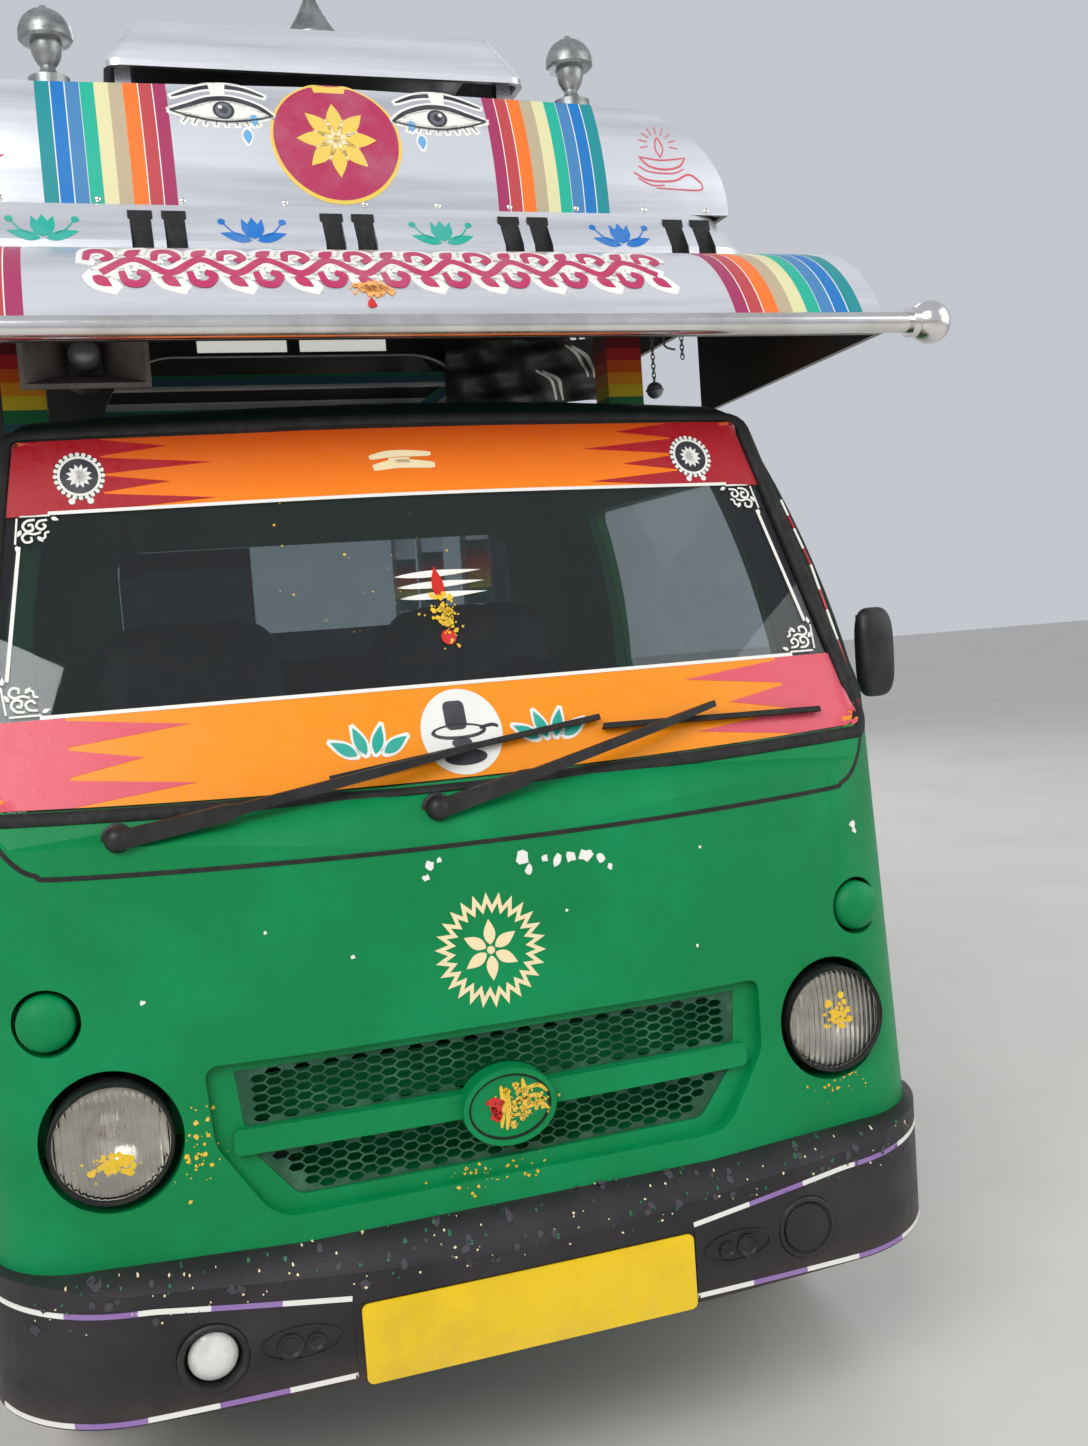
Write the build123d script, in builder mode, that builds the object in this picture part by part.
"""A hearse on a small forward-control truck: green cab, open load bed and a three-tier sheet-metal canopy.

Millimetres. X runs across with +X on the vehicle's left, Y runs back from the nose, Z is up from the ground.
The origin is on the ground under the middle of the vehicle.
"""
from build123d import *
import os
from math import sqrt

os.makedirs("parts", exist_ok=True)

# Overall size and wheels
LENGTH = 3840
NOSE = -LENGTH / 2
FRONT_OVERHANG = 690
WHEELBASE = 2100
TRACK_FRONT = 1300
TRACK_REAR = 1320
TYRE_RADIUS = 268
TYRE_WIDTH = 147
RIM_RADIUS = 152
HUB_BORE_RADIUS = 17
RUNNING_FIT = 0.05
SEAT_GAP = 0.3

# Running gear
KINGPIN_X = 560
KINGPIN_RADIUS = 12
STEERING_ARM = 110
RAIL_X = 357
RAIL_WIDTH = 46
RAIL_BOTTOM = 420
RAIL_TOP = 510

# Cab
CAB_HALF_WIDTH = 745
CAB_BACK = 1500
CAB_BOTTOM = 430
CAB_FLOOR = 550
FLOOR_PLATE = 35
SEAT_BOX_FRONT = 830
SEAT_BOX_TOP = 790
CAB_WALL = 30
SIDE_WALL = 45
NOSE_SPLIT = 235
NOSE_PANEL_FOOT = 470
CROWN_AXIS_Z = -7450
NOSE_FOOT_Z = 380
FRONT_LEAN = 0.1
ARCH_RADIUS = 352
ARCH_LIP = 50
DOOR_GAP = 8
DOOR_HINGE_Y = 330
DOOR_HINGE_X = 750
DOOR_SWEEP = 1005
DOOR_FRONT = 340
DOOR_BOTTOM = 480
DOOR_CORNER_Z = 620
DOOR_TOP = 1640
GLASS = 6
BELT = 1150

# Load bed
BED_FRONT = 1590
BED_REAR = 3790
BED_HALF_WIDTH = 745
BED_SIDE = 30
DECK_TOP = 740
DECK_PLATE = 20
SIDE_TOP = 1040
TAILGATE_THICKNESS = 25
TAILGATE_HALF_WIDTH = 705
TAILGATE_BOTTOM = 752
TAILGATE_AXIS_Y = 3795
TAILGATE_AXIS_Z = 745

# Canopy
CANOPY_SHEET = 12
VISOR_HALF_WIDTH = 868
VISOR_BACK = 750
CHEEK_BACK = 1100
TUBE_Y = 310
TUBE_Z = 1827
TUBE_RADIUS = 18
KNOB_RADIUS = 38
CANOPY_MIDDLE = (TUBE_Y + LENGTH - KNOB_RADIUS) / 2
SOFFIT = 1985
BAND_TOP = 2152
ROOF_TOP = 2404
POST = 80
CAB_POST_X = 616
CAB_POST_Y = 1000
BED_POST_X = 670
VENT_GAP = 36
VENT_RIM_HALF = 415

WHEEL_Z = TYRE_RADIUS
FRONT_AXLE_Y = NOSE + FRONT_OVERHANG
REAR_AXLE_Y = FRONT_AXLE_Y + WHEELBASE
CANOPY_MIRROR = Plane.XZ.offset(-(NOSE + CANOPY_MIDDLE))


def back(points):
    """Turns (distance behind the nose, height) pairs into this model's Y and Z."""
    return [(NOSE + distance, height) for distance, height in points]


def leaning_plane(lean):
    """A plan sketch plane at the nose's foot whose normal leans back by this much for each unit up."""
    return Plane((0, NOSE, NOSE_FOOT_Z), x_dir=(1, 0, 0), z_dir=(0, lean, 1))


# Cab shell: a side outline swung about a long axis for the roof's crown, cut by a leaning plan and a front outline
SCREEN_FOOT, SCREEN_HEAD = (158, 1106), (445, 1688)
CROWN_AXIS = Axis((0, 0, CROWN_AXIS_Z), (0, 1, 0))
CROWN_SWEEP = 6


def cab_form(inset, side_inset):
    with BuildPart() as form:
        with BuildSketch(Plane.YZ):
            with BuildLine():
                Polyline(back([(94, 1023), (40, 380), (CAB_BACK, 380), (CAB_BACK, 1740)]))
                ThreePointArc(*back([(94, 1023), (115, 1072), SCREEN_FOOT]))
                Line(*back([SCREEN_FOOT, SCREEN_HEAD]))
                ThreePointArc(*back([SCREEN_HEAD, (475, 1720), (530, 1740)]))
                ThreePointArc(*back([(530, 1740), (1000, 1790), (1470, 1790)]))
                Line(*back([(1470, 1790), (CAB_BACK, 1740)]))
            make_face()
            offset(amount=-inset)
        revolve(axis=CROWN_AXIS, revolution_arc=CROWN_SWEEP)
        with BuildSketch(Plane.XZ.offset(-(NOSE + CAB_BACK / 2))):
            with BuildLine():
                Polyline((745, 1030), (745, CAB_BOTTOM - side_inset), (-100, CAB_BOTTOM - side_inset))
                Polyline((-100, CAB_BOTTOM - side_inset), (-100, 1900), (500, 1840), (590, 1720))
                ThreePointArc((590, 1720), (627, 1692), (642, 1652))
                ThreePointArc((642, 1652), (690, 1470), (712, 1235))
                ThreePointArc((712, 1235), (728, 1125), (745, 1030))
            make_face()
            offset(amount=-side_inset)
        extrude(amount=CAB_BACK, both=True, mode=Mode.INTERSECT)
        with BuildSketch(leaning_plane(FRONT_LEAN)):
            with BuildLine():
                Polyline((745, 205), (745, 2000), (-100, 2000), (-100, 30), (0, 30))
                ThreePointArc((0, 30), (320, 39), (600, 72))
                ThreePointArc((600, 72), (705, 118), (745, 205))
            make_face()
            offset(amount=-inset)
        extrude(amount=1800, mode=Mode.INTERSECT)
        split(bisect_by=Plane.YZ)
        mirror(about=Plane.YZ)
    return form.part


def door_blank(grow):
    """The door's side outline on the +X side, its rear end turned about the hinge to swing clear."""
    lip = ARCH_RADIUS + ARCH_LIP + DOOR_GAP - grow
    front = DOOR_FRONT - grow
    bottom = DOOR_BOTTOM - grow
    top = DOOR_TOP + grow
    corner = DOOR_CORNER_Z - grow
    reach = sqrt(lip ** 2 - (corner - WHEEL_Z) ** 2)
    run = sqrt(lip ** 2 - (WHEEL_Z - bottom) ** 2)
    with BuildPart() as blank:
        with BuildSketch(Plane.YZ.offset(560)):
            with BuildLine():
                ThreePointArc(*back([(FRONT_OVERHANG - reach, corner), (FRONT_OVERHANG, WHEEL_Z + lip),
                                     (FRONT_OVERHANG + run, bottom)]))
                Polyline(back([(FRONT_OVERHANG + run, bottom), (1400, bottom), (1400, top), (540 - grow, top),
                               (front, 1130), (front, corner), (FRONT_OVERHANG - reach, corner)]))
            make_face()
        extrude(amount=240)
        with Locations((DOOR_HINGE_X, NOSE + DOOR_HINGE_Y, 1000)):
            Cylinder(DOOR_SWEEP + grow, 2000, mode=Mode.INTERSECT)
    return blank.part


def window_prism():
    """The door's window on the +X side."""
    with BuildPart() as prism:
        with BuildSketch(Plane.YZ.offset(560)):
            with BuildLine():
                Polyline(back([(405, BELT), (572, 1585), (1275, 1585), (1275, BELT)]), close=True)
            make_face()
            fillet(vertices(), radius=30)
        extrude(amount=240)
    return prism.part


def screen_prism():
    """The windscreen's opening, seen from the front."""
    with BuildPart() as prism:
        with BuildSketch(Plane.XZ.offset(-NOSE - 100)):
            with BuildLine():
                ThreePointArc((-699, 1130), (0, 1111), (699, 1130))
                Line((699, 1130), (625, 1682))
                ThreePointArc((625, 1682), (0, 1692), (-625, 1682))
                Line((-625, 1682), (-699, 1130))
            make_face()
            fillet(vertices(), radius=38)
        extrude(amount=-520)
    return prism.part


def cowl_prism():
    """What lies between the nose panel's seam and the windscreen, seen from the front."""
    with BuildPart() as prism:
        with BuildSketch(Plane.XZ.offset(-NOSE)):
            with BuildLine():
                ThreePointArc((-620, 1030), (0, 1021), (620, 1030))
                ThreePointArc((620, 1030), (694, 1055), (760, 1130))
                Polyline((760, 1130), (760, 1200), (-760, 1200), (-760, 1130))
                ThreePointArc((-760, 1130), (-694, 1055), (-620, 1030))
            make_face()
        extrude(amount=-235)
    return prism.part


cab_skin = cab_form(0, 0)
cab_room = cab_form(CAB_WALL, SIDE_WALL)
door_opening = door_blank(DOOR_GAP)
door_window = window_prism()
screen_opening = screen_prism()
cowl_block = cowl_prism()

with BuildPart() as shell:
    add(cab_skin)
    add(cab_room, mode=Mode.SUBTRACT)

with BuildPart() as room:
    add(cab_room)
    with BuildSketch(Plane.YZ):
        Polygon(*back([(60, CAB_FLOOR), (SEAT_BOX_FRONT, CAB_FLOOR), (SEAT_BOX_FRONT, SEAT_BOX_TOP),
                       (CAB_BACK, SEAT_BOX_TOP), (CAB_BACK, 1900), (60, 1900)]), align=None)
    extrude(amount=CAB_HALF_WIDTH, both=True, mode=Mode.INTERSECT)

with BuildPart() as nose_shell:
    add(shell.part)
    with Locations((0, NOSE, NOSE_PANEL_FOOT)):
        Box(1600, 2 * NOSE_SPLIT, 1100 - NOSE_PANEL_FOOT, align=(Align.CENTER, Align.CENTER, Align.MIN),
            mode=Mode.INTERSECT)
    add(cowl_block, mode=Mode.SUBTRACT)

with BuildPart() as cowl_panel:
    add(shell.part)
    add(cowl_block, mode=Mode.INTERSECT)
    add(screen_opening, mode=Mode.SUBTRACT)
cowl_panel.part.label = "cowl_panel"
export_step(cowl_panel.part, "parts/cowl_panel.step")

# Lamps: centres, radii, the holes round them and the beams behind the nose that they are seated on
LAMP_X, LAMP_Z, LAMP_RADIUS = 564, 665, 85
TURN_X, TURN_Z, TURN_RADIUS = 636, 837, 40
LAMP_HOLE = LAMP_RADIUS + 13.5
TURN_HOLE = TURN_RADIUS + 7
LAMP_SEAT, TURN_SEAT = 180, 175
LAMP_BEAM_BACK = 260

with BuildPart() as lamp_beams:
    for seat, foot, head in ((LAMP_SEAT, 630, 700), (TURN_SEAT, 815, 858)):
        with Locations((0, NOSE + seat, foot)):
            Box(2 * CAB_HALF_WIDTH, LAMP_BEAM_BACK - seat, head - foot,
                align=(Align.CENTER, Align.MIN, Align.MIN))
    add(cab_room, mode=Mode.INTERSECT)

REAR_WINDOW_HALF = 470
REAR_WINDOW = (1190, 1560)

# Door hinges: a pin between two lugs on the pillar, and a knuckle and leaf on the door
DOOR_HINGES = (690, 960)
HINGE_PIN, HINGE_RADIUS, HINGE_LENGTH, HINGE_PLAY = 4, 8, 50, 2
HINGE_LUG = 14

with BuildPart() as hinge_lugs:
    for hinge_z in DOOR_HINGES:
        lug_middle = (HINGE_LENGTH + HINGE_LUG) / 2 + HINGE_PLAY
        with Locations((DOOR_HINGE_X, NOSE + DOOR_HINGE_Y, hinge_z)):
            Cylinder(HINGE_PIN, 2 * lug_middle)
        for lug_z in (hinge_z - lug_middle, hinge_z + lug_middle):
            with Locations((DOOR_HINGE_X, NOSE + DOOR_HINGE_Y, lug_z)):
                Cylinder(HINGE_RADIUS, HINGE_LUG)
            with Locations((DOOR_HINGE_X + HINGE_RADIUS, NOSE + DOOR_HINGE_Y, lug_z)):
                Box(28, 35, HINGE_LUG, align=(Align.MAX, Align.MAX, Align.CENTER))

with BuildPart() as cab_body:
    add(cab_skin)
    add(room.part, mode=Mode.SUBTRACT)
    with Locations((0, NOSE, CAB_FLOOR - FLOOR_PLATE)):
        Box(2 * (CAB_HALF_WIDTH - SIDE_WALL), 2 * CAB_BACK, 200, mode=Mode.SUBTRACT,
            align=(Align.CENTER, Align.MIN, Align.MAX))
    with Locations((0, NOSE + (SEAT_BOX_FRONT + CAB_BACK) / 2, SEAT_BOX_TOP - FLOOR_PLATE)):
        Box(1300, CAB_BACK - SEAT_BOX_FRONT - 60, 500, mode=Mode.SUBTRACT,
            align=(Align.CENTER, Align.CENTER, Align.MAX))
    add(nose_shell.part, mode=Mode.SUBTRACT)
    add(cowl_block, mode=Mode.SUBTRACT)
    for side in (-1, 1):
        with BuildSketch(Plane.YZ.offset(side * 395)):
            with Locations((FRONT_AXLE_Y, WHEEL_Z)):
                Circle(ARCH_RADIUS + CAB_WALL)
            with Locations((FRONT_AXLE_Y, CAB_FLOOR - FLOOR_PLATE)):
                Rectangle(1000, 1000, align=(Align.CENTER, Align.MAX), mode=Mode.SUBTRACT)
        extrude(amount=side * 310)
        with BuildSketch(Plane.YZ.offset(side * 405)):
            with Locations((FRONT_AXLE_Y, WHEEL_Z)):
                Circle(ARCH_RADIUS)
        extrude(amount=side * 400, mode=Mode.SUBTRACT)
    add(door_opening, mode=Mode.SUBTRACT)
    add(mirror(door_opening, about=Plane.YZ, mode=Mode.PRIVATE), mode=Mode.SUBTRACT)
    add(screen_opening, mode=Mode.SUBTRACT)
    with BuildSketch(Plane.XZ.offset(-(NOSE + CAB_BACK))):
        with Locations((0, sum(REAR_WINDOW) / 2)):
            RectangleRounded(2 * REAR_WINDOW_HALF, REAR_WINDOW[1] - REAR_WINDOW[0], 50)
    extrude(amount=2 * CAB_WALL, both=True, mode=Mode.SUBTRACT)
    add(lamp_beams.part)
    for hinge_z in DOOR_HINGES:
        with Locations((DOOR_HINGE_X, NOSE + DOOR_HINGE_Y, hinge_z),
                       (-DOOR_HINGE_X, NOSE + DOOR_HINGE_Y, hinge_z)):
            Cylinder(HINGE_RADIUS + HINGE_PLAY, HINGE_LENGTH + 2 * HINGE_PLAY, mode=Mode.SUBTRACT)
    add(hinge_lugs.part)
    add(mirror(hinge_lugs.part, about=Plane.YZ, mode=Mode.PRIVATE))
cab_body.part.label = "cab_body"
export_step(cab_body.part, "parts/cab_body.step")

# Front panel: recess, grille bar with its oval boss, and round holes for the lamps
UPPER_MESH = ((391, 737), (383, 656))
LOWER_MESH = ((372, 617), (316, 548))
BOSS_Z, BOSS_WIDTH, BOSS_HEIGHT, BOSS_Y, BOSS_BACK = 631, 145, 118, 52, 80
NOSE_LEAN = (94 - 40) / (1023 - NOSE_FOOT_Z)
MESHES = ((UPPER_MESH, 8, 5), (LOWER_MESH, 28, 4))
LAMP_HOLES = (
    (-TURN_X, TURN_Z, TURN_HOLE),
    (TURN_X, TURN_Z, TURN_HOLE),
    (-LAMP_X, LAMP_Z, LAMP_HOLE),
    (LAMP_X, LAMP_Z, LAMP_HOLE),
)


def bowed_slab(half, near, far):
    """A slab leaning with the nose between two plan arcs, each given behind the nose at its middle and ends."""
    with BuildPart() as slab:
        with BuildSketch(leaning_plane(NOSE_LEAN)):
            with BuildLine():
                ThreePointArc((-half, near[1]), (0, near[0]), (half, near[1]))
                Line((half, near[1]), (half, far[1]))
                ThreePointArc((half, far[1]), (0, far[0]), (-half, far[1]))
                Line((-half, far[1]), (-half, near[1]))
            make_face()
        extrude(amount=500)
    return slab.part


def mesh_outline(corners, radius):
    """A grille opening: half-width and height at its top, then at its bottom."""
    (top_half, top), (bottom_half, bottom) = corners
    with BuildSketch(Plane.XZ.offset(-NOSE)) as outline:
        Polygon((-top_half, top), (top_half, top), (bottom_half, bottom), (-bottom_half, bottom), align=None)
        fillet(outline.vertices().group_by(Axis.Y)[0], radius=radius)
    return outline.sketch


with BuildPart() as nose_recess:
    with BuildSketch(Plane.XZ.offset(50 - NOSE)):
        Polygon((-432, 752), (432, 752), (426, 640), (352, 528), (-352, 528), (-426, 640), align=None)
        fillet(vertices().group_by(Axis.Y)[-1], radius=18)
        fillet(vertices().group_by(Axis.Y)[:2], radius=60)
    extrude(amount=-200)
    add(bowed_slab(481, (-10, -9), (56, 71)), mode=Mode.INTERSECT)

with BuildPart() as grille_bar:
    with BuildSketch(Plane.XZ.offset(50 - NOSE)):
        with Locations((0, 638)):
            RectangleRounded(800, 36, 10)
    extrude(amount=-200)
    add(bowed_slab(401, (42, 55), (62, 75)), mode=Mode.INTERSECT)

with BuildPart() as front_panel:
    add(nose_shell.part)
    add(nose_recess.part, mode=Mode.SUBTRACT)
    add(grille_bar.part)
    for corners, radius, _ in MESHES:
        extrude(mesh_outline(corners, radius), amount=-120, mode=Mode.SUBTRACT)
    with BuildSketch(Plane.XZ.offset(-(NOSE + BOSS_Y))):
        with Locations((0, BOSS_Z)):
            Ellipse(BOSS_WIDTH / 2, BOSS_HEIGHT / 2)
    extrude(amount=BOSS_Y - BOSS_BACK)
    for hole_x, hole_z, hole_radius in LAMP_HOLES:
        with BuildSketch(Plane((hole_x, NOSE + 20, hole_z), z_dir=(0, 1, 0))):
            Circle(hole_radius)
        extrude(amount=160, mode=Mode.SUBTRACT)
front_panel.part.label = "front_panel"
export_step(front_panel.part, "parts/front_panel.step")

# Grille: leaning plates pierced with flat hexagons up to their slanting ends, every second column half a cell lower
CELL_PITCH_X, CELL_WIDTH, CELL_BAR = 21, 25, 3
MESH_SHEET = 4
MESH_FOOT_Y = 66
MESH_GAP = 0.4
MESH_SLOPE = sqrt(1 + NOSE_LEAN ** 2)
mesh_plane = Plane((0, NOSE + MESH_FOOT_Y, NOSE_FOOT_Z), x_dir=(1, 0, 0), z_dir=(0, -1, NOSE_LEAN))

with BuildPart() as grille:
    for ((top_half, top), (bottom_half, bottom)), radius, rows in MESHES:
        head = (top - MESH_GAP - NOSE_FOOT_Z) * MESH_SLOPE
        foot = (bottom + MESH_GAP - NOSE_FOOT_Z) * MESH_SLOPE
        pitch = (head - foot - CELL_BAR) / (rows + 0.5)
        cell = (pitch - CELL_BAR) / 2
        columns = int(top_half / CELL_PITCH_X)
        end_slope = (top_half - bottom_half) / (head - foot)
        with BuildSketch(mesh_plane):
            Polygon((MESH_GAP - top_half, head), (top_half - MESH_GAP, head),
                    (bottom_half - MESH_GAP, foot), (MESH_GAP - bottom_half, foot), align=None)
            fillet(vertices().group_by(Axis.Y)[0], radius=radius)
            for column in range(-columns, columns + 1):
                drop = pitch / 2 if column % 2 else 0
                for row in range(rows):
                    middle = head - CELL_BAR - cell - row * pitch - drop
                    end = top_half - (head - middle + cell) * end_slope - CELL_BAR
                    if abs(column) * CELL_PITCH_X + CELL_WIDTH / 2 > end:
                        continue
                    with Locations((column * CELL_PITCH_X, middle)):
                        Polygon((-CELL_WIDTH / 2, 0), (-CELL_WIDTH / 4, cell), (CELL_WIDTH / 4, cell),
                                (CELL_WIDTH / 2, 0), (CELL_WIDTH / 4, -cell), (-CELL_WIDTH / 4, -cell),
                                align=None, mode=Mode.SUBTRACT)
        extrude(amount=-MESH_SHEET)
    with BuildSketch(Plane.XZ.offset(-(NOSE + 50))):
        with Locations((0, BOSS_Z)):
            Ellipse(BOSS_WIDTH / 2, BOSS_HEIGHT / 2)
    extrude(amount=-60, mode=Mode.SUBTRACT)
grille.part.label = "grille"
export_step(grille.part, "parts/grille.step")

# Glass: the windscreen is a strip of the nose outline's screen line swung about the same axis as the roof
SCREEN_DEPTH = 8
run, rise = SCREEN_HEAD[0] - SCREEN_FOOT[0], SCREEN_HEAD[1] - SCREEN_FOOT[1]
screen_in = Vector(rise, -run).normalized()


def screen_line(depth, past=60):
    """The ends of a line parallel to the screen, moved in by depth and run on past both ends."""
    along = Vector(run, rise).normalized()
    foot = Vector(*SCREEN_FOOT) + screen_in * depth - along * past
    head = Vector(*SCREEN_HEAD) + screen_in * depth + along * past
    return [(foot.X, foot.Y), (head.X, head.Y)]


with BuildPart() as cab_glass:
    with BuildSketch(Plane.YZ):
        Polygon(*back(screen_line(SCREEN_DEPTH) + screen_line(SCREEN_DEPTH + GLASS)[::-1]), align=None)
    revolve(axis=CROWN_AXIS, revolution_arc=CROWN_SWEEP)
    split(bisect_by=Plane.YZ)
    mirror(about=Plane.YZ)
    add(screen_opening, mode=Mode.INTERSECT)
    with BuildSketch(Plane.XZ.offset(-(NOSE + CAB_BACK - 18))):
        with Locations((0, sum(REAR_WINDOW) / 2)):
            RectangleRounded(2 * REAR_WINDOW_HALF, REAR_WINDOW[1] - REAR_WINDOW[0], 50)
    extrude(amount=GLASS)
cab_glass.part.label = "cab_glass"
export_step(cab_glass.part, "parts/cab_glass.step")

with BuildPart() as door_left:
    add(shell.part)
    add(door_blank(0), mode=Mode.INTERSECT)
    add(door_window, mode=Mode.SUBTRACT)
    for hinge_z in DOOR_HINGES:
        with Locations((DOOR_HINGE_X, NOSE + DOOR_HINGE_Y, hinge_z)):
            Cylinder(HINGE_RADIUS, HINGE_LENGTH)
        with Locations((DOOR_HINGE_X + 1, NOSE + DOOR_HINGE_Y, hinge_z)):
            Box(10, 46, HINGE_LENGTH, align=(Align.MAX, Align.MIN, Align.CENTER))
        with Locations((DOOR_HINGE_X, NOSE + DOOR_HINGE_Y, hinge_z)):
            Cylinder(HINGE_PIN + RUNNING_FIT, HINGE_LENGTH + 10, mode=Mode.SUBTRACT)
door_left.part.label = "door_left"
export_step(door_left.part, "parts/door_left.step")

with BuildPart() as door_right:
    mirror(door_left.part, about=Plane.YZ)
door_right.part.label = "door_right"
export_step(door_right.part, "parts/door_right.step")

DOOR_GLASS_DEPTH = 20
with BuildPart() as door_glass_left:
    with BuildSketch(Plane.XZ.offset(-(NOSE + 900))):
        with BuildLine():
            near, far = DOOR_GLASS_DEPTH, DOOR_GLASS_DEPTH + GLASS
            ThreePointArc((642 - near, 1652), (690 - near, 1470), (724 - near, 1140))
            Line((724 - near, 1140), (724 - far, 1140))
            ThreePointArc((724 - far, 1140), (690 - far, 1470), (642 - far, 1652))
            Line((642 - far, 1652), (642 - near, 1652))
        make_face()
    extrude(amount=700, both=True)
    add(door_window, mode=Mode.INTERSECT)
door_glass_left.part.label = "door_glass_left"
export_step(door_glass_left.part, "parts/door_glass_left.step")

with BuildPart() as door_glass_right:
    mirror(door_glass_left.part, about=Plane.YZ)
door_glass_right.part.label = "door_glass_right"
export_step(door_glass_right.part, "parts/door_glass_right.step")

# Bumper: a bowed plan and a nose section, hollow at the back
BUMPER_BOTTOM, BUMPER_LIP, BUMPER_TOP = 290, 436, 492
BUMPER_BACK = 330
BUMPER_WALL = 20
FOG_X, FOG_Z, FOG_RADIUS = 457, 366, 50
PLATE_SEAT_HALF, PLATE_SEAT_TOP, PLATE_SEAT_DEPTH = 263, 405, 7


def bumper_form(inset):
    with BuildPart() as form:
        with BuildSketch(Plane.XY.offset(BUMPER_BOTTOM - 5)):
            with BuildLine():
                side, bend = 757 - inset, 0.7 * inset
                ThreePointArc((-540, NOSE + 22 + inset), (0, NOSE + inset), (540, NOSE + 22 + inset))
                ThreePointArc((540, NOSE + 22 + inset), (690 - bend, NOSE + 82 + bend), (side, NOSE + 200))
                Polyline((side, NOSE + 200), (side, NOSE + 500), (-side, NOSE + 500), (-side, NOSE + 200))
                ThreePointArc((-side, NOSE + 200), (bend - 690, NOSE + 82 + bend), (-540, NOSE + 22 + inset))
            make_face()
        extrude(amount=BUMPER_TOP - BUMPER_BOTTOM + 10)
        with BuildSketch(Plane.YZ):
            lip, top = BUMPER_LIP - inset, BUMPER_TOP - inset
            with BuildLine():
                Polyline(back([(62 + inset, top), (500, top), (500, BUMPER_BOTTOM - inset),
                               (inset, BUMPER_BOTTOM - inset), (inset, lip)]))
                ThreePointArc(*back([(inset, lip), (10 + inset, lip + 22), (62 + inset, top)]))
            make_face()
        extrude(amount=800, both=True, mode=Mode.INTERSECT)
    return form.part


with BuildPart() as front_bumper:
    add(bumper_form(0))
    add(bumper_form(BUMPER_WALL), mode=Mode.SUBTRACT)
    add(cab_skin, mode=Mode.SUBTRACT)
    with Locations((0, NOSE, 400)):
        Box(1600, 2 * BUMPER_BACK, 400, mode=Mode.INTERSECT)
    with Locations((0, NOSE, PLATE_SEAT_TOP)):
        Box(2 * PLATE_SEAT_HALF, 2 * PLATE_SEAT_DEPTH, 200, mode=Mode.SUBTRACT,
            align=(Align.CENTER, Align.CENTER, Align.MAX))
    with BuildSketch(Plane.XZ.offset(-(NOSE - 10))):
        with Locations((FOG_X, FOG_Z), (-FOG_X, FOG_Z)):
            Circle(FOG_RADIUS)
    extrude(amount=-80, mode=Mode.SUBTRACT)
front_bumper.part.label = "front_bumper"
export_step(front_bumper.part, "parts/front_bumper.step")

# Lamps on the nose, each seated on its beam
LAMP_FACE, TURN_FACE = 72, 104
LENS_CROWN = 16

with BuildPart() as headlamps:
    for side in (-1, 1):
        with BuildSketch(Plane.XZ.offset(-(NOSE + LAMP_SEAT))):
            with Locations((side * LAMP_X, LAMP_Z)):
                Circle(LAMP_RADIUS)
        extrude(amount=LAMP_SEAT - LAMP_FACE - LENS_CROWN)
        with BuildSketch(Plane.XZ.offset(-(NOSE + LAMP_FACE + LENS_CROWN))):
            with Locations((side * LAMP_X, LAMP_Z)):
                Circle(LAMP_RADIUS)
        extrude(amount=LENS_CROWN, taper=50)
headlamps.part.label = "headlamps"
export_step(headlamps.part, "parts/headlamps.step")

with BuildPart() as indicators:
    for side in (-1, 1):
        with BuildSketch(Plane.XZ.offset(-(NOSE + TURN_SEAT))):
            with Locations((side * TURN_X, TURN_Z)):
                Circle(TURN_RADIUS)
        extrude(amount=TURN_SEAT - TURN_FACE - LENS_CROWN)
        with BuildSketch(Plane.XZ.offset(-(NOSE + TURN_FACE + LENS_CROWN))):
            with Locations((side * TURN_X, TURN_Z)):
                Circle(TURN_RADIUS)
        extrude(amount=LENS_CROWN, taper=40)
indicators.part.label = "indicators"
export_step(indicators.part, "parts/indicators.step")

with BuildPart() as fog_lamps:
    for side in (-1, 1):
        with Locations(Location((side * FOG_X, NOSE + 46, FOG_Z), (90, 0, 0))):
            Cylinder(FOG_RADIUS, 10, align=(Align.CENTER, Align.CENTER, Align.MIN))
            Cylinder(36, 34, align=(Align.CENTER, Align.CENTER, Align.MIN))
fog_lamps.part.label = "fog_lamps"
export_step(fog_lamps.part, "parts/fog_lamps.step")

# Running gear
LEAF_WIDTH = 55
SPARE_Y = 3490
AXLE_BEAM_Z = 235
BEAM_TOP = AXLE_BEAM_Z + 30
EYE_HALF = 40
FORK_GAP = 2
FORK_LUG = 30
ARM_Z = WHEEL_Z - EYE_HALF - FORK_GAP - FORK_LUG / 2

LEAF_EYE_TOP = 350
HANGER_DROP = RAIL_BOTTOM - LEAF_EYE_TOP - SEAT_GAP

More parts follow.
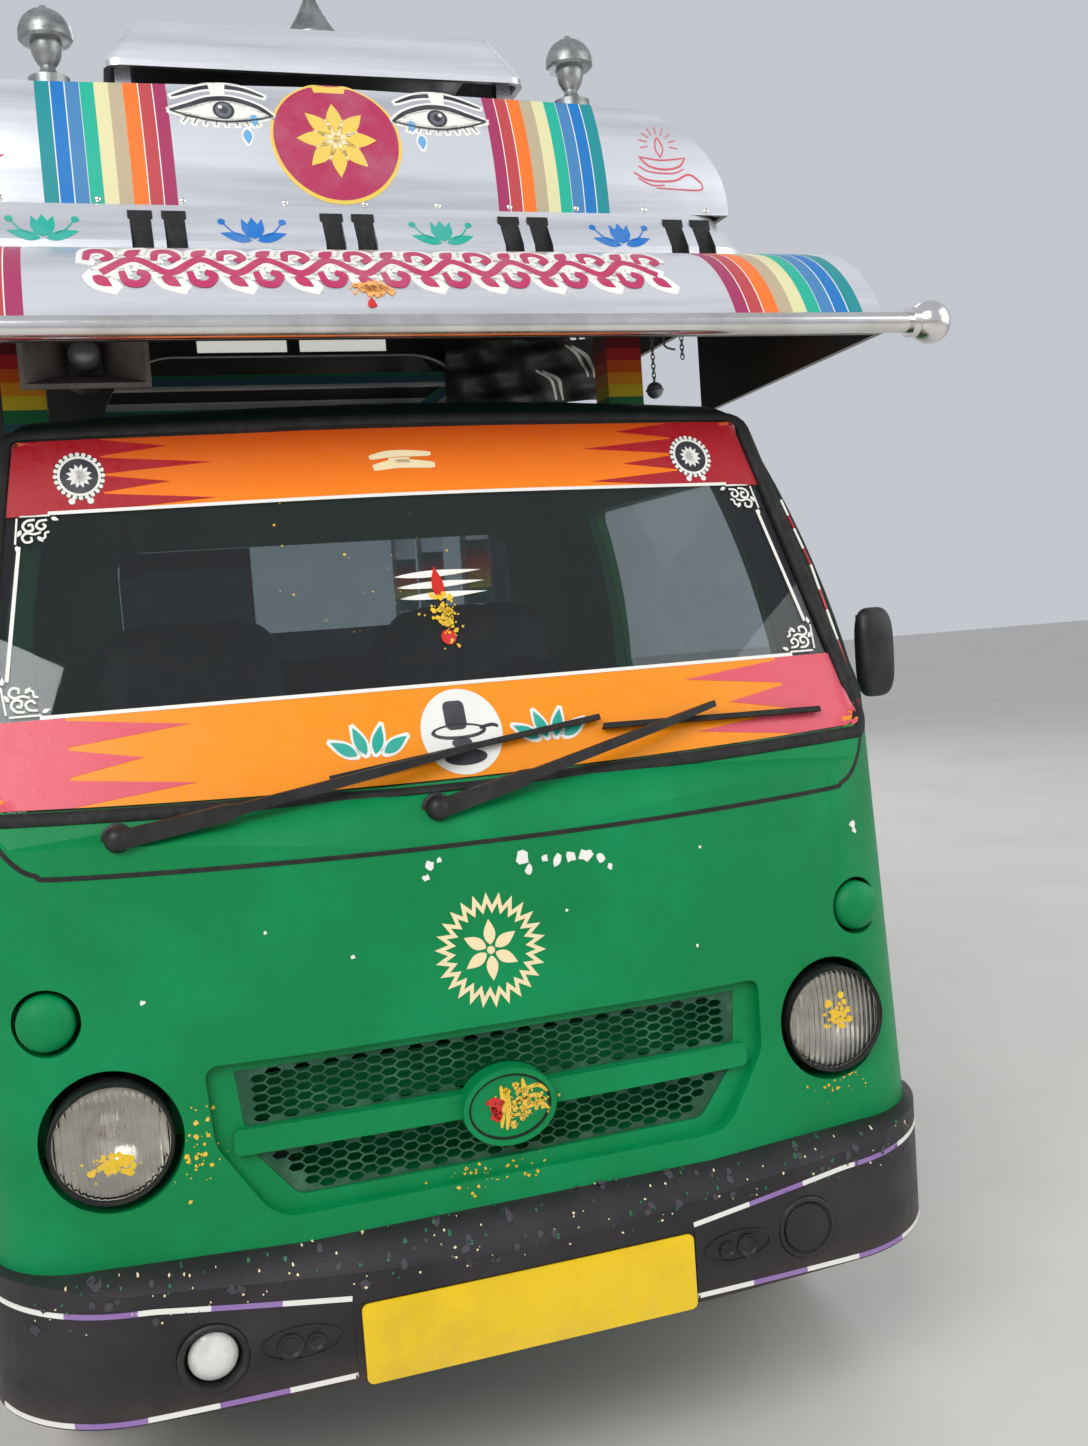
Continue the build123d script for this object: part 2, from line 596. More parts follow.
with BuildPart() as chassis_frame:
    for side in (-1, 1):
        with BuildSketch(Plane.YZ.offset(side * (RAIL_X - RAIL_WIDTH / 2))):
            Polygon(*back([(150, RAIL_BOTTOM), (150, RAIL_TOP), (3760, RAIL_TOP), (3760, RAIL_BOTTOM + 20),
                           (3600, RAIL_BOTTOM)]), align=None)
        extrude(amount=side * RAIL_WIDTH)
        for hanger in (230, 1150, 2310, 3270):
            with Locations((side * RAIL_X, NOSE + hanger, RAIL_BOTTOM)):
                Box(RAIL_WIDTH, 40, HANGER_DROP, align=(Align.CENTER, Align.CENTER, Align.MAX))
        for pad in (450, CAB_BACK - CAB_WALL / 2):
            with Locations((side * RAIL_X, NOSE + pad, RAIL_TOP)):
                Cylinder(20, CAB_FLOOR - FLOOR_PLATE - RAIL_TOP - SEAT_GAP,
                         align=(Align.CENTER, Align.CENTER, Align.MIN))
    for cross in (190, 560, 1560, 2050, SPARE_Y, 3730):
        with Locations((0, NOSE + cross, RAIL_TOP)):
            Box(2 * (RAIL_X - RAIL_WIDTH / 2 - SEAT_GAP), 50, 40,
                align=(Align.CENTER, Align.CENTER, Align.MAX))
chassis_frame.part.label = "chassis_frame"
export_step(chassis_frame.part, "parts/chassis_frame.step")

LEAF_PACKS = ((FRONT_OVERHANG, 460, BEAM_TOP), (FRONT_OVERHANG + WHEELBASE, 480, WHEEL_Z + 45))
with BuildPart() as leaf_springs:
    for side in (-1, 1):
        for middle, half, seat in LEAF_PACKS:
            with BuildSketch(Plane.YZ.offset(side * (RAIL_X - LEAF_WIDTH / 2))):
                with BuildLine():
                    ThreePointArc(*back([(middle - half, LEAF_EYE_TOP), (middle, seat + 36),
                                         (middle + half, LEAF_EYE_TOP)]))
                    Line(*back([(middle + half, LEAF_EYE_TOP), (middle + half, 342)]))
                    ThreePointArc(*back([(middle + half, 342), (middle + 250, seat + 14),
                                         (middle + 70, seat)]))
                    Line(*back([(middle + 70, seat), (middle - 70, seat)]))
                    ThreePointArc(*back([(middle - 70, seat), (middle - 250, seat + 14),
                                         (middle - half, 342)]))
                    Line(*back([(middle - half, 342), (middle - half, LEAF_EYE_TOP)]))
                make_face()
            extrude(amount=side * LEAF_WIDTH)
leaf_springs.part.label = "leaf_springs"
export_step(leaf_springs.part, "parts/leaf_springs.step")

with BuildPart() as front_axle:
    with BuildSketch(Plane.XZ.offset(-(FRONT_AXLE_Y - 24))):
        Polygon((-KINGPIN_X, 298), (-470, 298), (-430, BEAM_TOP), (430, BEAM_TOP), (470, 298),
                (KINGPIN_X, 298), (KINGPIN_X, 240), (480, 240), (440, 205), (-440, 205), (-480, 240),
                (-KINGPIN_X, 240), align=None)
    extrude(amount=-48)
    for side in (-1, 1):
        with Locations((side * KINGPIN_X, FRONT_AXLE_Y, WHEEL_Z)):
            Cylinder(26, 2 * EYE_HALF)
            Cylinder(KINGPIN_RADIUS, 2 * (EYE_HALF + FORK_GAP + FORK_LUG))
front_axle.part.label = "front_axle"
export_step(front_axle.part, "parts/front_axle.step")

with BuildPart() as knuckle_left:
    fork_middle = EYE_HALF + FORK_GAP + FORK_LUG / 2
    for lug in (WHEEL_Z + fork_middle, WHEEL_Z - fork_middle):
        with Locations((KINGPIN_X, FRONT_AXLE_Y, lug)):
            Cylinder(27, FORK_LUG)
            Box(44, 54, FORK_LUG, align=(Align.MIN, Align.CENTER, Align.CENTER))
    with Locations((KINGPIN_X + 32, FRONT_AXLE_Y, WHEEL_Z)):
        Box(12, 54, 2 * (EYE_HALF + FORK_GAP + FORK_LUG), align=(Align.MIN, Align.CENTER, Align.CENTER))
    with BuildSketch(Plane.XY.offset(ARM_Z - 8)):
        with Locations((KINGPIN_X, FRONT_AXLE_Y)):
            Rectangle(30, STEERING_ARM, align=(Align.CENTER, Align.MIN))
        with Locations((KINGPIN_X, FRONT_AXLE_Y + STEERING_ARM)):
            Circle(15)
    extrude(amount=16)
    with Locations((KINGPIN_X, FRONT_AXLE_Y, WHEEL_Z)):
        Cylinder(KINGPIN_RADIUS + RUNNING_FIT, 300, mode=Mode.SUBTRACT)
    with Locations(Location((KINGPIN_X + 44, FRONT_AXLE_Y, WHEEL_Z), (0, 90, 0))):
        Cylinder(96, 5, align=(Align.CENTER, Align.CENTER, Align.MIN))
        Cylinder(30, 20, align=(Align.CENTER, Align.CENTER, Align.MIN))
        Cylinder(HUB_BORE_RADIUS - RUNNING_FIT, 120, align=(Align.CENTER, Align.CENTER, Align.MIN))
    with Locations((KINGPIN_X, FRONT_AXLE_Y + STEERING_ARM, ARM_Z)):
        Cylinder(6, 40, mode=Mode.SUBTRACT)
knuckle_left.part.label = "knuckle_left"
export_step(knuckle_left.part, "parts/knuckle_left.step")

with BuildPart() as knuckle_right:
    mirror(knuckle_left.part, about=Plane.YZ)
knuckle_right.part.label = "knuckle_right"
export_step(knuckle_right.part, "parts/knuckle_right.step")

BALL_HEIGHT = 24
ROD_Z = ARM_Z - 8 - FORK_GAP - BALL_HEIGHT / 2
with BuildPart() as tie_rod:
    with Locations(Location((0, FRONT_AXLE_Y + STEERING_ARM, ROD_Z), (0, 90, 0))):
        Cylinder(9, 2 * KINGPIN_X)
    with Locations((KINGPIN_X, FRONT_AXLE_Y + STEERING_ARM, ROD_Z),
                   (-KINGPIN_X, FRONT_AXLE_Y + STEERING_ARM, ROD_Z)):
        Cylinder(13, BALL_HEIGHT)
    with Locations((KINGPIN_X, FRONT_AXLE_Y + STEERING_ARM, ROD_Z)):
        Cylinder(6 - RUNNING_FIT, 30, align=(Align.CENTER, Align.CENTER, Align.MIN))
tie_rod.part.label = "tie_rod"
export_step(tie_rod.part, "parts/tie_rod.step")

with BuildPart() as rear_axle:
    with Locations(Location((0, REAR_AXLE_Y, WHEEL_Z), (0, 90, 0))):
        Cylinder(45, 1190)
        Cylinder(110, 120)
        Cylinder(HUB_BORE_RADIUS - RUNNING_FIT, TRACK_REAR + 70)
    with Locations(Location((0, REAR_AXLE_Y - 100, WHEEL_Z), (90, 0, 0))):
        Cone(75, 40, 110)
    for side in (-1, 1):
        with Locations(Location((side * 600, REAR_AXLE_Y, WHEEL_Z), (0, 90, 0))):
            Cylinder(98, 10)
rear_axle.part.label = "rear_axle"
export_step(rear_axle.part, "parts/rear_axle.step")

# Wheels: each tyre and rim is turned about its own axle
WHEELS = (
    ("front_left", TRACK_FRONT / 2, FRONT_AXLE_Y),
    ("front_right", -TRACK_FRONT / 2, FRONT_AXLE_Y),
    ("rear_left", TRACK_REAR / 2, REAR_AXLE_Y),
    ("rear_right", -TRACK_REAR / 2, REAR_AXLE_Y),
)
TREAD_HALF = 58
for name, wheel_x, wheel_y in WHEELS:
    out = 1 if wheel_x > 0 else -1
    axle = Axis((wheel_x, wheel_y, WHEEL_Z), (1, 0, 0))
    with BuildPart() as tyre:
        with BuildSketch(Plane.XY.move(Location((wheel_x, wheel_y, WHEEL_Z)))):
            with BuildLine():
                Polyline((-50, 166), (-50, RIM_RADIUS), (50, RIM_RADIUS), (50, 166))
                ThreePointArc((50, 166), (TYRE_WIDTH / 2, 212), (TREAD_HALF, 259))
                ThreePointArc((TREAD_HALF, 259), (0, TYRE_RADIUS), (-TREAD_HALF, 259))
                ThreePointArc((-TREAD_HALF, 259), (-TYRE_WIDTH / 2, 212), (-50, 166))
            make_face()
        revolve(axis=axle)
    tyre.part.label = f"tyre_{name}"
    export_step(tyre.part, f"parts/tyre_{name}.step")
    with BuildPart() as rim:
        with BuildSketch(Plane.XY.move(Location((wheel_x, wheel_y, WHEEL_Z)))):
            with BuildLine():
                Polyline((-50, RIM_RADIUS), (50, RIM_RADIUS), (50, 164), (56, 164), (56, 144), (30, 136),
                         (-30, 136), (-56, 144), (-56, 164), (-50, 164), close=True)
            make_face()
            with BuildLine():
                Polyline((out * 8, 138), (out * 2, 110), (out * 14, 78), (out * 14, HUB_BORE_RADIUS),
                         (out * 24, HUB_BORE_RADIUS), (out * 24, 80), (out * 10, 114), (out * 18, 138),
                         close=True)
            make_face()
            with BuildLine():
                Polyline((out * 24, HUB_BORE_RADIUS), (out * 52, HUB_BORE_RADIUS), (out * 52, 24),
                         (out * 44, 32), (out * 24, 34), close=True)
            make_face()
            with BuildLine():
                Polyline((out * 14, HUB_BORE_RADIUS), (out * 14, 90), (-out * 34, 90), (-out * 34, 82),
                         (0, 80), (0, HUB_BORE_RADIUS), close=True)
            make_face()
        revolve(axis=axle)
    rim.part.label = f"rim_{name}"
    export_step(rim.part, f"parts/rim_{name}.step")

# Engine, drive line, tank, exhaust and spare
with BuildPart() as engine_block:
    with Locations((0, NOSE + 1130, 560)):
        Box(420, 480, 330)
    with Locations((0, NOSE + 1130, 465)):
        Box(2 * (RAIL_X - RAIL_WIDTH / 2 - SEAT_GAP), 60, 50)
engine_block.part.label = "engine_block"
export_step(engine_block.part, "parts/engine_block.step")

with BuildPart() as prop_shaft:
    shaft = Line((0, NOSE + 1374.5, 430), (0, REAR_AXLE_Y - 159.5, WHEEL_Z))
    with BuildSketch(Plane(origin=shaft @ 0, z_dir=shaft % 0)):
        Circle(30)
    extrude(amount=shaft.length)
prop_shaft.part.label = "prop_shaft"
export_step(prop_shaft.part, "parts/prop_shaft.step")

with BuildPart() as fuel_tank:
    with Locations((515, NOSE + 1980, 505)):
        Box(260, 560, 190)
    fillet(fuel_tank.edges().filter_by(Axis.Y), radius=40)
    for strap in (1800, 2160):
        with Locations((RAIL_X + RAIL_WIDTH / 2, NOSE + strap, 480)):
            Box(30, 40, 60, align=(Align.MIN, Align.CENTER, Align.CENTER))
fuel_tank.part.label = "fuel_tank"
export_step(fuel_tank.part, "parts/fuel_tank.step")

with BuildPart() as exhaust:
    with Locations(Location((-480, NOSE + 2150, 480), (90, 0, 0))):
        Cylinder(75, 420)
        Cylinder(22, 620)
    with Locations((-RAIL_X - RAIL_WIDTH / 2, NOSE + 2150, 480)):
        Box(60, 40, 40, align=(Align.MAX, Align.CENTER, Align.CENTER))
exhaust.part.label = "exhaust"
export_step(exhaust.part, "parts/exhaust.step")

with BuildPart() as spare_wheel:
    with BuildSketch(Plane.XZ.offset(-(NOSE + SPARE_Y))):
        with BuildLine():
            Line((140, 330), (RIM_RADIUS, 330))
            ThreePointArc((RIM_RADIUS, 330), (212, 317), (259, 335))
            ThreePointArc((259, 335), (TYRE_RADIUS, 390), (259, 445))
            ThreePointArc((259, 445), (212, 463), (RIM_RADIUS, 450))
            Polyline((RIM_RADIUS, 450), (140, 450), (140, 400), (0, 400), (0, 380), (140, 380), (140, 330))
        make_face()
    revolve(axis=Axis((0, NOSE + SPARE_Y, 0), (0, 0, 1)))
    with Locations((0, NOSE + SPARE_Y, 400)):
        Cylinder(14, RAIL_TOP - 40 - 400 - SEAT_GAP, align=(Align.CENTER, Align.CENTER, Align.MIN))
spare_wheel.part.label = "spare_wheel"
export_step(spare_wheel.part, "parts/spare_wheel.step")

# Cab inside
STEER_HUB = (-330, NOSE + 560, 1010)
steer_plane = Plane(origin=STEER_HUB, x_dir=(1, 0, 0), z_dir=(0, 0.6157, 0.788))
COLUMN_TOP = 150 + SEAT_GAP

with BuildPart() as dashboard:
    with BuildSketch(Plane.YZ.offset(-660)):
        Polygon(*back([(205, 900), (205, 1040), (330, 1075), (420, 1010), (420, 900), (330, 860)]), align=None)
    extrude(amount=1320)
    with Locations((0, NOSE + 260, 950)):
        Box(2 * (CAB_HALF_WIDTH - SIDE_WALL - SEAT_GAP), 50, 50)
    with BuildSketch(steer_plane.offset(-COLUMN_TOP)):
        Circle(22)
    extrude(amount=-700)
    with Locations((STEER_HUB[0], STEER_HUB[1] - 60, CAB_FLOOR + SEAT_GAP)):
        Box(600, 1200, 500, align=(Align.CENTER, Align.CENTER, Align.MAX), mode=Mode.SUBTRACT)
    add(lamp_beams.part, mode=Mode.SUBTRACT)
dashboard.part.label = "dashboard"
export_step(dashboard.part, "parts/dashboard.step")

with BuildPart() as steering_wheel:
    with BuildSketch(Plane(origin=STEER_HUB, x_dir=(1, 0, 0), z_dir=(0, 0.788, -0.6157))) as rim_section:
        with Locations((185, 0)):
            Circle(13)
    revolve(axis=Axis(STEER_HUB, (0, 0.6157, 0.788)))
    with BuildSketch(steer_plane.offset(-12)):
        Circle(45)
        Rectangle(368, 26)
        with Locations((0, -90)):
            Rectangle(26, 180)
    extrude(amount=20)
    with BuildSketch(steer_plane.offset(-150)):
        Circle(16)
    extrude(amount=140)
steering_wheel.part.label = "steering_wheel"
export_step(steering_wheel.part, "parts/steering_wheel.step")

for name, seat_x in (("seat_driver", -330), ("seat_passenger", 330)):
    with BuildPart() as seat:
        with BuildSketch(Plane.YZ.offset(seat_x - 240)):
            Polygon(*back([(870, SEAT_BOX_TOP + SEAT_GAP), (860, 900), (1290, 890), (1380, 1420), (1450, 1420),
                           (1420, SEAT_BOX_TOP + SEAT_GAP)]), align=None)
        extrude(amount=480)
        fillet(seat.edges().filter_by(Axis.X), radius=25)
    seat.part.label = name
    export_step(seat.part, f"parts/{name}.step")

# Load bed
STAKES = 6
TAILGATE_HINGES = (-460, 0, 460)
TAILGATE_PIN, KNUCKLE_RADIUS, KNUCKLE_LENGTH = 5, 9, 70
lug_offset = (KNUCKLE_LENGTH + HINGE_LUG) / 2 + HINGE_PLAY

with BuildPart() as bed_floor:
    with Locations((0, NOSE + (BED_FRONT + BED_REAR - 35) / 2, DECK_TOP)):
        Box(2 * (BED_HALF_WIDTH - BED_SIDE), BED_REAR - 35 - BED_FRONT, DECK_PLATE,
            align=(Align.CENTER, Align.CENTER, Align.MAX))
    for side in (-1, 1):
        with Locations((side * RAIL_X, NOSE + (BED_FRONT + BED_REAR - 35) / 2, RAIL_TOP)):
            Box(RAIL_WIDTH, BED_REAR - 35 - BED_FRONT, 130, align=(Align.CENTER, Align.CENTER, Align.MIN))
    for row in range(STAKES):
        with Locations((0, NOSE + BED_FRONT + 30 + row * 421, DECK_TOP - DECK_PLATE)):
            Box(2 * (BED_HALF_WIDTH - BED_SIDE), 45, 80, align=(Align.CENTER, Align.CENTER, Align.MAX))
    for hinge_x in TAILGATE_HINGES:
        for lug_x in (hinge_x - lug_offset, hinge_x + lug_offset):
            with Locations((lug_x, NOSE + TAILGATE_AXIS_Y + 10, TAILGATE_AXIS_Z)):
                Box(HINGE_LUG, 80, 22, align=(Align.CENTER, Align.MAX, Align.MAX))
        with Locations(Location((hinge_x, NOSE + TAILGATE_AXIS_Y, TAILGATE_AXIS_Z), (0, 90, 0))):
            Cylinder(TAILGATE_PIN, 2 * lug_offset)
bed_floor.part.label = "bed_floor"
export_step(bed_floor.part, "parts/bed_floor.step")

with BuildPart() as bed_sides:
    for side in (-1, 1):
        with BuildSketch(Plane.YZ.offset(side * (BED_HALF_WIDTH - BED_SIDE))):
            Polygon(*back([(BED_FRONT, DECK_TOP - 60), (BED_FRONT, SIDE_TOP), (BED_REAR, SIDE_TOP),
                           (BED_REAR, DECK_TOP - 60)]), align=None)
        extrude(amount=side * BED_SIDE)
        for panel in range(5):
            with Locations((side * BED_HALF_WIDTH, NOSE + 1814 + panel * 438, (DECK_TOP + SIDE_TOP) / 2)):
                Box(24, 370, 200, mode=Mode.SUBTRACT)
    with BuildSketch(Plane.XZ.offset(-(NOSE + BED_FRONT))):
        with Locations((0, (DECK_TOP + 1150) / 2)):
            Rectangle(2 * (BED_HALF_WIDTH - BED_SIDE), 1150 - DECK_TOP)
    extrude(amount=-25)
bed_sides.part.label = "bed_sides"
export_step(bed_sides.part, "parts/bed_sides.step")

with BuildPart() as tailgate:
    with BuildSketch(Plane.YZ.offset(-TAILGATE_HALF_WIDTH)):
        Polygon(*back([(BED_REAR - TAILGATE_THICKNESS, TAILGATE_BOTTOM), (BED_REAR, TAILGATE_BOTTOM),
                       (BED_REAR, SIDE_TOP), (BED_REAR - TAILGATE_THICKNESS, SIDE_TOP)]), align=None)
    extrude(amount=2 * TAILGATE_HALF_WIDTH)
    for panel in (-1, 0, 1):
        with Locations((panel * 460, NOSE + BED_REAR, (DECK_TOP + SIDE_TOP) / 2)):
            Box(390, 20, 200, mode=Mode.SUBTRACT)
    for hinge_x in TAILGATE_HINGES:
        with Locations(Location((hinge_x, NOSE + TAILGATE_AXIS_Y, TAILGATE_AXIS_Z), (0, 90, 0))):
            Cylinder(KNUCKLE_RADIUS, KNUCKLE_LENGTH)
        with Locations((hinge_x, NOSE + TAILGATE_AXIS_Y, TAILGATE_AXIS_Z)):
            Box(KNUCKLE_LENGTH, KNUCKLE_RADIUS, 85, align=(Align.CENTER, Align.MAX, Align.MIN))
        with Locations(Location((hinge_x, NOSE + TAILGATE_AXIS_Y, TAILGATE_AXIS_Z), (0, 90, 0))):
            Cylinder(TAILGATE_PIN + RUNNING_FIT, KNUCKLE_LENGTH, mode=Mode.SUBTRACT)
tailgate.part.label = "tailgate"
export_step(tailgate.part, "parts/tailgate.step")

# Bier platform and side benches
with BuildPart() as bier_platform:
    with Locations((0, NOSE + 2680, 960)):
        Box(620, 1900, 30)
    for side in (-1, 1):
        with Locations((side * 295, NOSE + 2680, 975)):
            Box(30, 1900, 40, align=(Align.CENTER, Align.CENTER, Align.MIN))
        for row in (1780, 2680, 3580):
            with Locations((side * 280, NOSE + row, DECK_TOP)):
                Box(40, 40, 960 - DECK_TOP, align=(Align.CENTER, Align.CENTER, Align.MIN))
bier_platform.part.label = "bier_platform"
export_step(bier_platform.part, "parts/bier_platform.step")

with BuildPart() as side_benches:
    for side in (-1, 1):
        with Locations((side * 520, NOSE + 2680, 1080)):
            Box(200, 1850, 30)
        for row in (1800, 2300, 3060, 3560):
            with Locations((side * 520, NOSE + row, DECK_TOP)):
                Box(170, 30, 1080 - DECK_TOP, align=(Align.CENTER, Align.CENTER, Align.MIN))
side_benches.part.label = "side_benches"
export_step(side_benches.part, "parts/side_benches.step")

# Canopy tiers
BAND_FRONT = 735
BAND_REAR = 2 * CANOPY_MIDDLE - BAND_FRONT
VISOR_HEM = TUBE_Y + TUBE_RADIUS + SEAT_GAP
VISOR_CURVE = ((VISOR_HEM, 1849), (382, 1921), (474, 1984), (600, 2020), (VISOR_BACK, 2035))
CHEEK_FOOT = 1790


def visor_form(inset):
    (a, b, c, d, e) = VISOR_CURVE
    drop = 1.2 * inset
    with BuildPart() as form:
        with BuildSketch(Plane.YZ.offset(-VISOR_HALF_WIDTH + inset)):
            with BuildLine():
                Line(*back([(a[0] + inset, 1812 - 5 * inset), (a[0] + inset, a[1] - drop)]))
                ThreePointArc(*back([(a[0] + inset, a[1] - drop), (b[0] + inset, b[1] - drop),
                                     (c[0], c[1] - drop)]))
                ThreePointArc(*back([(c[0], c[1] - drop), (d[0], d[1] - drop), (e[0], e[1] - drop)]))
                Polyline(back([(e[0], e[1] - drop), (CHEEK_BACK + inset, e[1] - drop),
                               (CHEEK_BACK + inset, CHEEK_FOOT - 5 * inset), (a[0] + inset, 1812 - 5 * inset)]))
            make_face()
        extrude(amount=2 * (VISOR_HALF_WIDTH - inset))
    return form.part


BAND_TIERS = ((SOFFIT, 850, BAND_FRONT), (2075, 838, 748), (BAND_TOP, 805, 797))


def band_form(inset, extra):
    with BuildPart() as form:
        for height, half, front in BAND_TIERS:
            level = height - extra if height == SOFFIT else height + extra if height == BAND_TOP else height
            with BuildSketch(Plane.XY.offset(level)):
                with Locations((0, NOSE + CANOPY_MIDDLE)):
                    RectangleRounded(2 * (half - inset), 2 * (CANOPY_MIDDLE - front - inset), 90 - inset)
        loft(ruled=True)
    return form.part


band_solid = band_form(0, 0)
under_visor = visor_form(CANOPY_SHEET)
with BuildPart() as visors:
    add(visor_form(0))
    add(under_visor, mode=Mode.SUBTRACT)
    with Locations((0, NOSE + (VISOR_BACK + CHEEK_BACK) / 2, SOFFIT)):
        Box(1800, CHEEK_BACK - VISOR_BACK, 200, mode=Mode.SUBTRACT,
            align=(Align.CENTER, Align.CENTER, Align.MIN))
    add(band_solid, mode=Mode.SUBTRACT)
    mirror(about=CANOPY_MIRROR)
visors.part.label = "visors"
export_step(visors.part, "parts/visors.step")

TUBE_HALF = 914
KNOB_X, COLLAR_RADIUS = 952, 26
with BuildPart() as eave_tubes:
    with BuildSketch(Plane.XY.offset(TUBE_Z)):
        with Locations((0, NOSE + TUBE_Y)):
            Rectangle(2 * TUBE_HALF, 2 * TUBE_RADIUS)
            with Locations((TUBE_HALF, 0), (-TUBE_HALF, 0)):
                Rectangle(14, 2 * COLLAR_RADIUS)
            with Locations((KNOB_X, 0), (-KNOB_X, 0)):
                Circle(KNOB_RADIUS)
            Rectangle(2 * (KNOB_X + KNOB_RADIUS), 2 * KNOB_RADIUS, mode=Mode.SUBTRACT,
                      align=(Align.CENTER, Align.MAX))
    revolve(axis=Axis((0, NOSE + TUBE_Y, TUBE_Z), (1, 0, 0)))
    mirror(about=CANOPY_MIRROR)
eave_tubes.part.label = "eave_tubes"
export_step(eave_tubes.part, "parts/eave_tubes.step")

SLOT_WIDTH, SLOT_BAR = 38, 22
SLOT_FOOT, SLOT_HEAD = 2050, 2135
SLOT_MIDDLE = (SLOT_FOOT + SLOT_HEAD) / 2
FRONT_SLOTS = (-700, -350, 0, 350, 700)
SIDE_SLOTS = tuple(1000 + 266.5 * step for step in range(9))
with BuildPart() as canopy_band:
    add(band_solid)
    add(band_form(CANOPY_SHEET, 1), mode=Mode.SUBTRACT)
    pair = (SLOT_WIDTH + SLOT_BAR) / 2
    with BuildSketch(Plane.XZ.offset(-(NOSE + 700))):
        for group in FRONT_SLOTS:
            with Locations((group - pair, SLOT_MIDDLE), (group + pair, SLOT_MIDDLE)):
                Rectangle(SLOT_WIDTH, SLOT_HEAD - SLOT_FOOT)
    extrude(amount=-2800, mode=Mode.SUBTRACT)
    with BuildSketch(Plane.YZ):
        for group in SIDE_SLOTS:
            with Locations((NOSE + group - pair, SLOT_MIDDLE), (NOSE + group + pair, SLOT_MIDDLE)):
                Rectangle(SLOT_WIDTH, SLOT_HEAD - SLOT_FOOT)
    extrude(amount=900, both=True, mode=Mode.SUBTRACT)
canopy_band.part.label = "canopy_band"
export_step(canopy_band.part, "parts/canopy_band.step")


def roof_form(inset):
    with BuildPart() as form:
        with BuildSketch(Plane.XZ.offset(-(NOSE + CANOPY_MIDDLE))):
            with BuildLine():
                Polyline((0, BAND_TOP - 50), (805 - inset, BAND_TOP - 50), (805 - inset, BAND_TOP))
                ThreePointArc((805 - inset, BAND_TOP), (731 - inset, 2334 - inset / 2), (549, 2390 - inset))
                Polyline((549, 2390 - inset), (0, ROOF_TOP - inset), (0, BAND_TOP - 50))
            make_face()
            mirror(about=Plane.YZ)
        extrude(amount=1400, both=True)
        with BuildSketch(Plane.YZ.offset(-900)):
            with BuildLine():
                Line(*back([(797 + inset, BAND_TOP - 60), (797 + inset, BAND_TOP)]))
                ThreePointArc(*back([(797 + inset, BAND_TOP), (815 + inset, 2270),
                                     (880 + inset, ROOF_TOP + 10)]))
                Polyline(back([(880 + inset, ROOF_TOP + 10), (CANOPY_MIDDLE, ROOF_TOP + 10),
                               (CANOPY_MIDDLE, BAND_TOP - 60),
                               (797 + inset, BAND_TOP - 60)]))
            make_face()
        extrude(amount=1800, mode=Mode.INTERSECT)
        mirror(about=CANOPY_MIRROR)
        split(bisect_by=Plane.XY.offset(BAND_TOP if inset == 0 else BAND_TOP - 20))
    return form.part


roof_solid = roof_form(0)
with BuildPart() as upper_roof:
    add(roof_solid)
    add(roof_form(CANOPY_SHEET), mode=Mode.SUBTRACT)
upper_roof.part.label = "upper_roof"
export_step(upper_roof.part, "parts/upper_roof.step")

VENT_FRONT = 900
VENT_FOOT = ROOF_TOP + VENT_GAP
VENT_TIERS = ((VENT_FOOT, VENT_RIM_HALF, VENT_FRONT), (VENT_FOOT + 12, VENT_RIM_HALF, VENT_FRONT),
              (VENT_FOOT + 98, 360, VENT_FRONT + 36))


def vent_form(inset):
    with BuildPart() as form:
        for height, half, front in VENT_TIERS:
            with BuildSketch(Plane.XY.offset(height - inset)):
                with Locations((0, NOSE + CANOPY_MIDDLE)):
                    RectangleRounded(2 * (half - inset), 2 * (CANOPY_MIDDLE - front - inset), 30 - inset)
        loft(ruled=True)
    return form.part


with BuildPart() as ridge_vent:
    add(vent_form(0))
    add(vent_form(CANOPY_SHEET), mode=Mode.SUBTRACT)
    for row in (960, 1508, CANOPY_MIDDLE, 2604, 3152):
        for side in (-1, 1):
            with Locations((side * 380, NOSE + row, ROOF_TOP - 12)):
                Box(30, 30, VENT_GAP + 30, align=(Align.CENTER, Align.CENTER, Align.MIN))
    add(roof_solid, mode=Mode.SUBTRACT)
ridge_vent.part.label = "ridge_vent"
export_step(ridge_vent.part, "parts/ridge_vent.step")

FINIAL_X, FINIAL_Y = 514, 905
RIDGE_FINIAL_Y = 1000
VENT_TOP = VENT_TIERS[-1][0]
FINIALS = (
    (-FINIAL_X, FINIAL_Y, ROOF_TOP),
    (FINIAL_X, FINIAL_Y, ROOF_TOP),
)
RIDGE_FINIAL_TOP = 2688.5


def finial(across, behind, foot):
    """A flared foot, a neck, a bowl and a domed cap that overhangs it, turned about an upright axis."""
    with BuildPart() as turned:
        with BuildSketch(Plane((across, NOSE + behind, foot), x_dir=(1, 0, 0), z_dir=(0, -1, 0))):
            with BuildLine():
                Polyline((0, -24), (38, -24), (38, 4))
                ThreePointArc((38, 4), (21, 11), (14, 26))
                ThreePointArc((14, 26), (25, 44), (29, 68))
                Polyline((29, 68), (44, 70), (49, 75), (49, 83))
                ThreePointArc((49, 83), (38, 113), (9, 130))
                Polyline((9, 130), (6, 136), (0, 136), (0, -24))
            make_face()
        revolve(axis=Axis((across, NOSE + behind, 0), (0, 0, 1)))
    return turned.part


